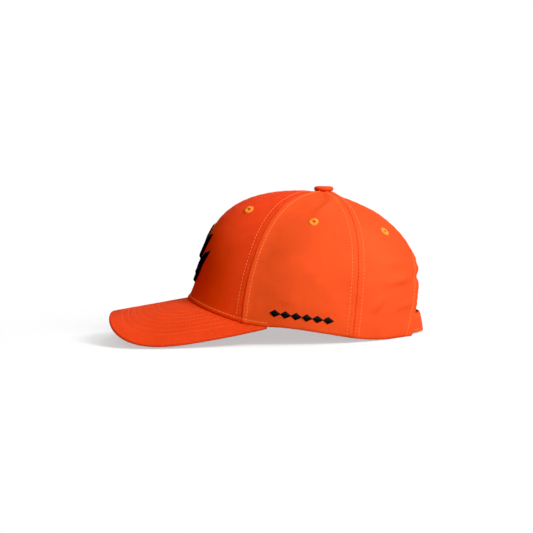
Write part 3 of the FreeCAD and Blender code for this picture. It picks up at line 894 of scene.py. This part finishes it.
def bill_cover(name, node, upper):
    half_count = int(150 * FINE)
    share = np.linspace(0, 1, half_count + 1)
    columns = np.concatenate([-share[:0:-1], share])
    plain = np.linspace(0, 1, int((90 if upper else 70) * FINE))
    rows = 1 - (1 - plain) ** 1.6
    magnitude, side = np.abs(columns), np.where(columns < 0, -1.0, 1.0)
    inner_line = bill_inner(magnitude, bill_inner_depth)

    def spread(outline):
        across, ahead = (near + (far - near) * rows[:, None] for near, far in zip(inner_line, outline))
        return side * across, ahead

    across, ahead = spread(bill_outer(magnitude, 0.0))
    across_in, ahead_in = spread(bill_outer(magnitude, 0.8))
    relief, drop = bill_lift(across, ahead)
    inner_lift = np.minimum(cover_thick - relief + drop * 0.98, bill_thick / 2 - 0.02)
    if upper:
        outer = bill_point(across, ahead, relief - drop)
        inner = bill_point(across_in, ahead_in, -inner_lift)
    else:
        outer = bill_point(across, ahead, -bill_thick - relief + drop)
        inner = bill_point(across_in, ahead_in, -bill_thick + inner_lift)
    # both bill covers take the darker, redder cloth copy: painted shade
    piece = shell(name, outer, inner, bill_cloth_painted_shade, bulge=0.0)
    return finish_piece(piece, "crown", [node])


bill_cover("bill_top_cloth", "bill_cover_top", True)
under = bill_cover("bill_under_cloth", "bill_cover_bottom", False)
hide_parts("bill_edge_fold", "bill_board")


def bill_stitch_paths(upper):
    paths = []
    share = np.linspace(0, 1, 700)
    columns = np.concatenate([-share[:0:-1], share])
    for row in bill_rows:
        across, ahead = bill_outer(np.abs(columns), row)
        across = across * np.where(columns < 0, -1, 1)
        points = bill_point(across, ahead, 0.0)
        plan = (points[:, 0] / (half_length + 2.5)) ** 2 + (points[:, 1] / (half_width + 2.5)) ** 2
        keep = plan > 1.0
        across, ahead = across[keep], ahead[keep]
        relief = bill_lift(across, ahead)[0]
        surface = bill_point(across, ahead, relief if upper else -bill_thick - relief)
        normal = unit(bill_point(across, ahead, 1.0) - bill_point(across, ahead, 0.0))
        paths.append((surface, normal if upper else -normal))
    return paths


for upper, name in ((True, "bill_top_stitching"), (False, "bill_under_stitching")):
    stitches(bill_stitch_paths(upper), bill_thread, name, "crown", radius=0.24, raise_by=0.08)


# ------------------------------------------------------------------ layers inside the crown
def inside_layer(name, first, last, start, stop, depth, thick, rows, columns, material, node,
                 ripple=None):
    """Rounded sheet inside the crown, between two azimuth lines and two climb lines."""
    across = np.linspace(0, 1, max(3, int(columns * FINE)))[None]
    up = np.linspace(0, 1, max(3, int(rows * FINE)))[:, None]
    guess = first(0.5) + (last(0.5) - first(0.5)) * across
    low, high = start(guess), stop(guess)
    climb = low + (high - low) * up
    azimuth = first(climb) + (last(climb) - first(climb)) * across
    normal = crown_normal(azimuth, climb)
    extra = ripple(azimuth, up) if ripple else np.zeros(climb.shape)
    face = crown_face(azimuth, climb)
    outer = face - normal * (depth + extra)[..., None]
    inner = face - normal * (depth + thick + extra)[..., None]
    piece = shell(name, outer, inner, material)
    return finish_piece(piece, "crown", [node])


def inside_row(azimuth, climb, depth):
    """Path and normals of a stitch row on a layer inside the crown."""
    normal = crown_normal(azimuth, climb)
    return crown_face(azimuth, climb) - normal * np.broadcast_to(depth, azimuth.shape)[:, None], -normal


def beside(number, side, distance):
    def azimuth(climb):
        climb = np.asarray(climb, float)
        base = seam_azimuth(number, side, climb)
        return base + np.degrees(distance / meridian(base, climb)[0])
    return azimuth


def rise(value):
    return lambda azimuth: climb_at_rise(azimuth, value)


def reach(radius):
    return lambda azimuth: climb_at_radius(azimuth, radius)


half_tape = 7.0
tapes = [("tape_front_center", 0, 1, front_tape_depth, 2.5),
         ("tape_rear_center", 3, 1, side_tape_depth, 74.5)]
for side, side_name in side_names:
    tapes.append(("tape_front_" + side_name, 1, side, front_tape_depth, 2.5))
    tapes.append(("tape_rear_" + side_name, 2, side, side_tape_depth, 1.0))
tape_rows = []
for node, number, side, depth, low in tapes:
    inside_layer(node + "_cloth", beside(number, side, -half_tape), beside(number, side, half_tape),
                 rise(low), reach(27.0), depth, tape_thick, 90, 9, tape_cloth, node)
    for offset in (-5.4, 5.4):
        start = float(climb_at_rise(np.array(side * 1.0 * (0, front_seam, rear_seam, 180)[number]), low + 1))
        climb = np.linspace(max(start, 0.12), 0.82, 160)
        tape_rows.append(inside_row(beside(number, side, offset)(climb), climb, depth + tape_thick))
stitches(tape_rows, top_thread, "tape_stitching", "crown", radius=0.22)

for side, side_name in side_names:
    inside_layer("stiffener_" + side_name + "_mesh", beside(0, side, side * 1.2),
                 beside(1, side, -side * 1.2), rise(0.6), reach(6.0), stiffener_depth, stiffener_thick,
                 90, 50, buckram,
                 "front_stiffener_" + side_name)

band_end = float(azimuth_at_side(np.array(-arch_half - 3.0), np.array(0.1)))


def constant(value):
    return lambda climb: np.full(np.shape(climb), value) if np.shape(climb) else value


def band_ripple(azimuth, up):
    along = np.radians(azimuth) * 85.0
    edge = np.exp(-((up - 1) / 0.18) ** 2)
    return 0.16 * np.sin(along / 1.25 + 2 * np.sin(along / 17)) * edge + 0.12 * np.sin(along / 7.0) * up


inside_layer("sweatband_cloth", constant(-band_end), constant(band_end), rise(0.0), rise(band_height),
             band_depth, band_thick, 26, 420, band_cloth, "sweatband", band_ripple)
band_rows = []
for level in (4.0, band_height - 2.2):
    azimuth = np.linspace(-band_end + 1, band_end - 1, 900)
    climb = climb_at_rise(azimuth, level)
    shift = band_depth + band_thick + band_ripple(azimuth, level / band_height)
    band_rows.append(inside_row(azimuth, climb, shift))
stitches(band_rows, top_thread, "sweatband_stitching", "crown", radius=0.24)
inside_layer("care_label_cloth", constant(112.0), constant(126.0), rise(5.0), rise(band_height - 5),
             band_depth + band_thick + 0.35, 0.4, 24, 18, label_cloth, "care_label")
label_rows = []
for low, high, level_low, level_high in ((112.4, 125.6, 5.8, 5.8), (112.4, 125.6, 26.2, 26.2),
                                         (112.5, 112.5, 6, 26), (125.5, 125.5, 6, 26)):
    azimuth = np.linspace(low, high, 60)
    climb = climb_at_rise(azimuth, np.linspace(level_low, level_high, 60))
    label_rows.append(inside_row(azimuth, climb, band_depth + band_thick + 0.75))
stitches(label_rows, top_thread, "label_stitching", "crown",
         pitch=2.4, length=1.7, radius=0.2)
paint_node("opening_binding", node_cloth)
paint_node("sweatband_padding", pad_cloth)

# ------------------------------------------------------------------ eyelets
eyelet_places = {"front": (23.9, 0.663), "side": (78.7, 0.497), "rear": (140.9, 0.491)}
eyelet_radius = 4.2
eyelet_hole = 0.95


def eyelet(area, side, side_name):
    """Embroidered ring: radial satin threads over a padded ring, round a small hole whose walls carry painted
    shade.
    """
    azimuth, climb = eyelet_places[area]
    place = crown_face(side * azimuth, climb)
    normal = unit(crown_normal(side * azimuth, climb))
    lift = float(crown_relief(np.array([side * azimuth]), np.array([climb]), [(1, side), (2, side)])[0])
    across = unit(np.cross(normal, np.array([0.0, 0.0, 1.0])))
    other = np.cross(normal, across)
    back = -2.2 if area == "front" else -1.3
    centre_line = [(eyelet_hole + 0.1, back), (eyelet_hole, back + 0.4), (eyelet_hole, lift),
                   (eyelet_hole + 0.1, lift + 0.5), (eyelet_hole + 0.5, lift + 0.85), (2.4, lift + 1.0),
                   (3.2, lift + 0.9), (3.8, lift + 0.6), (eyelet_radius, lift + 0.15),
                   (eyelet_radius + 0.05, lift - 0.5)]
    inner_line = [(eyelet_radius - 0.5, lift - 0.6), (2.2, lift - 0.3), (2.0, back)]
    threads = 46
    turns = threads * 4
    angle = np.linspace(0, 2 * math.pi, turns, endpoint=False)
    rng = np.random.default_rng(5)
    ragged = rng.uniform(-0.16, 0.16, threads)[np.arange(turns) // 4]
    rings = []
    for step, (radius, height) in enumerate(centre_line + inner_line):
        rib = 0.13 * np.cos(angle * threads) if 1 < step < len(centre_line) - 1 else 0.0
        end = ragged if 6 < step < len(centre_line) else 0.0
        spread = (radius + end)[:, None] if np.ndim(end) else np.full((turns, 1), radius)
        level = np.broadcast_to(height + rib, (turns,))[:, None]
        outward = np.cos(angle)[:, None] * across + np.sin(angle)[:, None] * other
        rings.append(place + spread * outward + level * normal)
    rings = np.array(rings)
    count = len(rings)
    faces = ring_faces(count, turns, True)
    piece = build("eyelet_" + area + "_" + side_name + "_thread", rings.reshape(-1, 3), faces, eyelet_thread)
    # painted shade: the rings inside the hole and the last ring get the near-black hole material
    piece.data.materials.append(hole_painted_shade)
    step_of_face = np.repeat(np.arange(count), turns)
    painted_shade_faces = (step_of_face < 3) | (step_of_face == count - 1)
    piece.data.polygons.foreach_set("material_index", painted_shade_faces.astype(np.int32))
    finish_piece(piece, "crown", ["eyelet_" + area + "_" + side_name])


for side, side_name in side_names:
    for area in areas:
        eyelet(area, side, side_name)


# ------------------------------------------------------------------ raised embroidery
def tree_of(names):
    """Search tree over the outside of some pieces."""
    points, faces = joined_meshes([bpy.data.objects[name].data for name in names])
    return BVHTree.FromPolygons(np.concatenate(points).tolist(), np.concatenate(faces).tolist())


def drop_on(tree, flat, direction):
    """Where rays from flat points meet the cloth; points and normals in mm."""
    found, normals = [], []
    for point in flat.reshape(-1, 3):
        hit = tree.ray_cast(Vector(point * MM), Vector(direction))
        if hit[0] is None:
            near = tree.find_nearest(Vector(point * MM))
            hit = (near[0], near[1])
        normal = hit[1] if hit[1].dot(Vector(direction)) < 0 else -hit[1]
        found.append(tuple(hit[0]))
        normals.append(tuple(normal))
    return np.array(found).reshape(flat.shape) / MM, np.array(normals).reshape(flat.shape)


def satin_patch(tree, start, tip, width, height, direction, thread=0.42, slant=0.35, rhombus=False):
    """Grid of one satin-stitched shape with a domed section and threads across it."""
    along = unit(tip - start)
    side = unit(np.cross(along, np.asarray(direction, float)))
    length = np.linalg.norm(tip - start)
    rows = max(12, int(length / thread * 3 * FINE))
    columns = 13
    rib_height = 0.07
    t = np.linspace(0, 1, rows)[:, None]
    s = np.linspace(-1, 1, columns)[None]
    if rhombus:
        half = width / 2 * np.clip(1 - np.abs(2 * t - 1), 0.05, 1)
    else:
        half = width / 2 * np.maximum(np.sin(math.pi * t ** 0.9), 0.03) ** 0.8
    flat = start + along * (length * t)[..., None] + side * (s * half)[..., None]
    flat = flat - along * (slant * s ** 2 * half * 0.5)[..., None]
    surface, normal = drop_on(tree, flat, direction)
    middle = normal[:, columns // 2:columns // 2 + 1]
    normal = unit(normal * 0.3 + middle * 0.7)
    rib = rib_height * np.cos(2 * math.pi * (length * t + slant * s * half) / thread)
    dome = height * np.sqrt(np.clip(1 - s ** 2, 0, 1)) * np.minimum(1, half / (width * 0.22)) ** 0.7
    top = surface + normal * (dome + rib * (np.abs(s) < 0.99) + 0.05)[..., None]
    bottom = surface - normal * 0.35
    return top, bottom


def join_shells(name, pairs, material):
    """Several closed sheets as one piece."""
    made = [shell(name + str(k), top, bottom, material, bulge=0.1) for k, (top, bottom) in enumerate(pairs)]
    points, faces = joined_meshes([piece.data for piece in made])
    for piece in made:
        bpy.data.objects.remove(piece, do_unlink=True)
    return build(name, np.concatenate(points) / MM, np.concatenate(faces), material)


front_tree = tree_of(["front_panel_left_cloth", "front_panel_right_cloth"])
emblem_low, emblem_high = 48.0, 102.0
inwards = (1.0, 0.0, 0.0)


def front_point(y, z):
    return np.array([-160.0, y, z])


stem_top = front_point(0, emblem_low + 36)
pairs = [satin_patch(front_tree, front_point(0, emblem_low), stem_top, 2.6, 1.2, inwards)]
top_leaf_base = front_point(0, emblem_low + 31)
pairs.append(satin_patch(front_tree, top_leaf_base, front_point(0, emblem_high), 11, 1.9, inwards))
# each pair of leaves: height above the foot, length, lean in degrees, width
leaf_pairs = ((3, 23, 54, 9.5), (9, 34, 51, 12), (23, 28, 38, 10.5))
for lift, length, lean, width in leaf_pairs:
    for side in (1, -1):
        angle = math.radians(side * lean)
        start = front_point(-side * 0.4, emblem_low + lift)
        tip = start + length * np.array([0, math.sin(angle), math.cos(angle)])
        pairs.append(satin_patch(front_tree, start, tip, width, 1.8, inwards))
emblem = join_shells("front_emblem_thread", pairs, black_thread)
finish_piece(emblem, "crown", ["front_emblem"])

side_tree = tree_of(["side_panel_left_cloth"])
motif_start = np.array([-30.0, -110.0, 28.2])
motif_spacing = 9.0
motif_slant = math.radians(-9.3)
motif_step = np.array([math.cos(motif_slant), 0, math.sin(motif_slant)])
pairs = []
for index in range(6):
    start = motif_start + motif_step * (motif_spacing * index - 0.3)
    end = start + motif_step * (motif_spacing + 0.6)
    pairs.append(satin_patch(side_tree, start, end, 6.6, 0.75, (0.0, 1.0, 0.0), rhombus=True))
motif = join_shells("side_motif_thread", pairs, black_thread)
finish_piece(motif, "crown", ["side_motif"])


# ------------------------------------------------------------------ top button
button_tilt = math.radians(2.5)


def button_cover():
    """Cloth-covered button: cushion top, rounded shoulder, gathered under the rim."""
    radius, height = 8.6, 4.75
    outline = [(0.0, height)]
    for step in range(1, 9):
        r = (radius - 2.6) * step / 8
        outline.append((r, height - 0.25 * (r / radius) ** 2))
    for step in range(1, 10):
        angle = math.radians(90) * step / 9
        outline.append((radius - 2.6 + 2.6 * math.sin(angle), height - 2.05 + 1.9 * math.cos(angle) - 0.08))
    outline += [(radius, 2.1), (radius - 0.15, 1.4), (radius - 0.7, 0.7)]
    outline += [(radius - 1.6, 0.25), (radius - 2.8, 0.1)]
    inner = [(radius - 2.6, 0.7), (radius - 1.2, 1.1), (radius - 1.0, 2.6)]
    inner += [(radius - 2.6, height - 0.9), (0.0, height - 0.8)]
    turns = int(120 * FINE)
    angle = np.linspace(0, 2 * math.pi, turns, endpoint=False)
    rings = []
    for step, (r, h) in enumerate(outline + inner):
        r = max(r, 0.02)
        low = math.exp(-(h / 1.6) ** 2)
        gather = 0.14 * low * np.cos(angle * 22 + 0.6 * np.sin(angle * 3))
        soft = 0.10 * np.sin(2 * angle + 0.7) * (r / radius)
        spread = r + gather
        level = h + soft * (1 - low)
        rings.append(np.stack([spread * np.cos(angle), spread * np.sin(angle), level], 1))
    rings = np.array(rings)
    tilt = Matrix.Rotation(button_tilt, 3, "Y")
    rings = rings @ np.array(tilt).T + np.array([apex_back, 0, crown_height + 0.55])
    faces = ring_faces(len(rings), turns, False)
    flat = rings[..., :2].reshape(-1, 2)
    piece = build("button_cover_cloth", rings.reshape(-1, 3), faces, cloth, flat)
    finish_piece(piece, "crown", ["button_cover"])


button_cover()
for node in ("button_shell", "button_rivet", "button_washer"):
    paint_node(node, metal)

# ------------------------------------------------------------------ closure strap and tab
strap_height = 16.2
strap_thick = 1.4
patch_thick = 0.8
tab_thick = 1.2
bulge_top, bulge_bottom = 0.4, 5.6
hinge_y = 33.0
root_y = 53.0
strap_free = -22.0
tab_free = 24.0
body_gap = 0.35


def closure_depth(y, up):
    share = np.maximum(0.0, 1 - (y / (hinge_y + 4.0)) ** 2)
    return strap_root_depth - (bulge_bottom + (bulge_top - bulge_bottom) * up) * share ** 2


def closure_places(y, up):
    """Place on the crown; y grows towards the wearer's left, where the strap is sewn."""
    share = np.maximum(0.0, 1 - (y / root_y) ** 2)
    height = 0.6 + 0.8 * share + strap_height * up
    azimuth = azimuth_at_side(-y, np.full(y.shape, 0.08))
    climb = bisect(lambda c: meridian(azimuth, c)[1] > height, -0.05, 0.9999, y.shape)
    return azimuth_at_side(-y, climb), climb


def tab_sink(y):
    return (strap_thick + 2 * patch_thick + 0.2 + body_gap) * smooth((hinge_y + y) / 9.0)


def closure_face(y, up, depth, extra):
    azimuth, climb = closure_places(y, up)
    azimuth = np.where(azimuth < 0, azimuth + 360, azimuth)
    normal = crown_normal(azimuth, climb)
    total = closure_depth(y, up) + depth + extra(y)
    return crown_face(azimuth, climb) - normal * total[..., None], normal


def closure_piece(name, node, body, y_from, y_to, depth, thick, extra, low, high, material,
                  round_end=0.0, relief=0.0):
    columns, rows = int(90 * FINE), 21
    y = np.linspace(y_from, y_to, columns)[None] * np.ones((rows, 1))
    s = np.linspace(-1, 1, rows)[:, None]
    reach_end = np.abs(y - (y_from if abs(y_from) < abs(y_to) else y_to))
    free = np.clip(round_end - reach_end, 0, None)
    lose = round_end - np.sqrt(np.maximum(round_end ** 2 - free ** 2, 0)) if round_end else 0.0
    half = (high - low) / 2 - lose / strap_height
    up = (low + high) / 2 + s * half
    outer, normal = closure_face(y, up, depth, extra)
    inner, _ = closure_face(y, up, depth + thick, extra)
    edge = (1 - np.abs(s)) * half * strap_height
    puff = relief * (0.35 * smooth(edge / 1.2) - 0.3 * np.exp(-((edge - 2.4) / 0.6) ** 2))
    outer = outer + normal * puff[..., None]
    piece = shell(name, outer, inner, material)
    return finish_piece(piece, body, [node])


def closure_row(y_from, y_to, up, depth, extra, inside=False):
    y = np.linspace(y_from, y_to, 200)
    path, normal = closure_face(y, np.full(y.shape, up), depth, extra)
    return path, (-normal if inside else normal)


def nothing(y):
    return np.zeros(np.shape(y))


closure_piece("strap_cloth", "strap_band", "strap", strap_free, hinge_y, 0.0, strap_thick, nothing,
              0.0, 1.0, cloth, round_end=6.0, relief=0.8)
closure_piece("strap_root_cloth", "strap_root", "crown", hinge_y + body_gap, root_y, 0.0, strap_thick,
              nothing, 0.0, 1.0, cloth)
hook_depth = strap_thick + 0.1
closure_piece("hook_patch", "strap_hook_patch", "strap", strap_free + 1.5, tab_free - 2, hook_depth,
              patch_thick, nothing, 0.08, 0.92, hook_cloth)
closure_piece("loop_patch", "tab_loop_patch", "tab", -23.0, tab_free - 1.5, -patch_thick - 0.1, patch_thick,
              tab_sink, 0.08, 0.92, loop_cloth)
closure_piece("tab_cloth", "tab_band", "tab", -hinge_y, tab_free, 0.0, tab_thick, tab_sink, 0.0, 1.0, cloth,
              round_end=6.0)
closure_piece("tab_root_cloth", "tab_root", "crown", -root_y, -hinge_y - body_gap, 0.0, tab_thick, tab_sink,
              0.0, 1.0, cloth)
edge_share = 2.4 / strap_height
strap_rows = [closure_row(strap_free + 5, hinge_y - 0.5, edge_share, 0.0, nothing),
              closure_row(strap_free + 5, hinge_y - 0.5, 1 - edge_share, 0.0, nothing)]
stitches(strap_rows, top_thread, "strap_stitching", "strap", radius=0.26)
tab_rows = [closure_row(-hinge_y + 0.5, tab_free - 5, level, tab_thick, tab_sink, True)
            for level in (edge_share, 1 - edge_share)]
stitches(tab_rows, top_thread, "tab_stitching", "tab", radius=0.24)


# ------------------------------------------------------------------ floor, light and camera
floor_mesh = bpy.data.meshes.new("floor")
floor_half = 0.45
floor_corners = [(x * floor_half, y * floor_half, 0) for x, y in ((-1, -1), (1, -1), (1, 1), (-1, 1))]
floor_mesh.from_pydata(floor_corners, [], [(0, 1, 2, 3)])


def floor_material():
    """Pale paper that thins out into the white backdrop away from the cap."""
    n = Nodes("floor_paper")
    n.set(Base_Color=(0.93, 0.93, 0.93, 1.0), Roughness=0.9, Specular_IOR_Level=0.0)
    body = n.add("ShaderNodeTexCoord").outputs["Object"]
    away = n.add("ShaderNodeVectorMath", {0: body}, operation="LENGTH").outputs["Value"]
    fade = n.add("ShaderNodeMapRange", {"Value": away, 1: 0.16, 2: 0.42, 3: 0.5, 4: 0.0},
                 interpolation_type="SMOOTHSTEP").outputs[0]
    clear = n.add("ShaderNodeBsdfTransparent")
    both = n.add("ShaderNodeMixShader", {0: fade, 1: clear.outputs[0], 2: n.shader.outputs[0]})
    n.tree.links.new(both.outputs[0], n.tree.nodes["Material Output"].inputs["Surface"])
    return n.material


floor_mesh.materials.append(floor_material())
floor = bpy.data.objects.new("floor", floor_mesh)
floor.location.z = -0.0002
bpy.context.scene.collection.objects.link(floor)
floor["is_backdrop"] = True


def soft_light(name, place, target, width, power):
    data = bpy.data.lights.new(name, "AREA")
    data.shape = "DISK"
    data.size = width
    data.energy = power
    light = bpy.data.objects.new(name, data)
    light.location = place
    light.rotation_euler = (Vector(target) - Vector(place)).to_track_quat("-Z", "Y").to_euler()
    bpy.context.scene.collection.objects.link(light)


middle = (0.0, 0.0, 0.07)
soft_light("key", (1.3, -1.2, 1.25), middle, 0.8, 48.0)
soft_light("top", (0.7, -0.1, 1.9), middle, 1.0, 12.0)
soft_light("fill", (-0.05, -1.9, 0.7), middle, 1.2, 12.0)
soft_light("far_fill", (-0.3, 1.9, 0.9), middle, 1.4, 12.0)

world = bpy.data.worlds.new("studio")
world.use_nodes = True
bpy.context.scene.world = world
tree = world.node_tree
background = tree.nodes["Background"]
seen = tree.nodes.new("ShaderNodeBackground")
seen.inputs["Strength"].default_value = 1.0
seen.inputs["Color"].default_value = (1, 1, 1, 1)
background.inputs["Color"].default_value = (1, 1, 1, 1)
background.inputs["Strength"].default_value = 0.18
path_node = tree.nodes.new("ShaderNodeLightPath")
mix = tree.nodes.new("ShaderNodeMixShader")
tree.links.new(path_node.outputs["Is Camera Ray"], mix.inputs[0])
tree.links.new(background.outputs[0], mix.inputs[1])
tree.links.new(seen.outputs[0], mix.inputs[2])
tree.links.new(mix.outputs[0], tree.nodes["World Output"].inputs["Surface"])

distance = 1.2
elevation = math.radians(3.96)
roll = math.radians(1.82)
target = Vector((-0.0315, 0.0, 0.0615))
right = Vector((1, 0, 0))
upward = Vector((0, math.sin(elevation), math.cos(elevation)))
forward = Vector((0, math.cos(elevation), -math.sin(elevation)))
camera_right = right * math.cos(roll) - upward * math.sin(roll)
camera_up = right * math.sin(roll) + upward * math.cos(roll)
camera_data = bpy.data.cameras.new("camera")
camera_data.sensor_width = 36.0
camera_data.lens = 90.56
camera_data.clip_start = 0.01
camera = bpy.data.objects.new("camera", camera_data)
turn = Matrix((camera_right, camera_up, -forward)).transposed().to_4x4()
camera.matrix_world = Matrix.Translation(target - forward * distance) @ turn
bpy.context.scene.collection.objects.link(camera)
bpy.context.scene.camera = camera
view = bpy.context.scene.view_settings
view.view_transform = "Standard"
view.use_curve_mapping = True
view.curve_mapping.black_level = (0.012, 0.012, 0.012)
view.curve_mapping.update()

low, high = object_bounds()
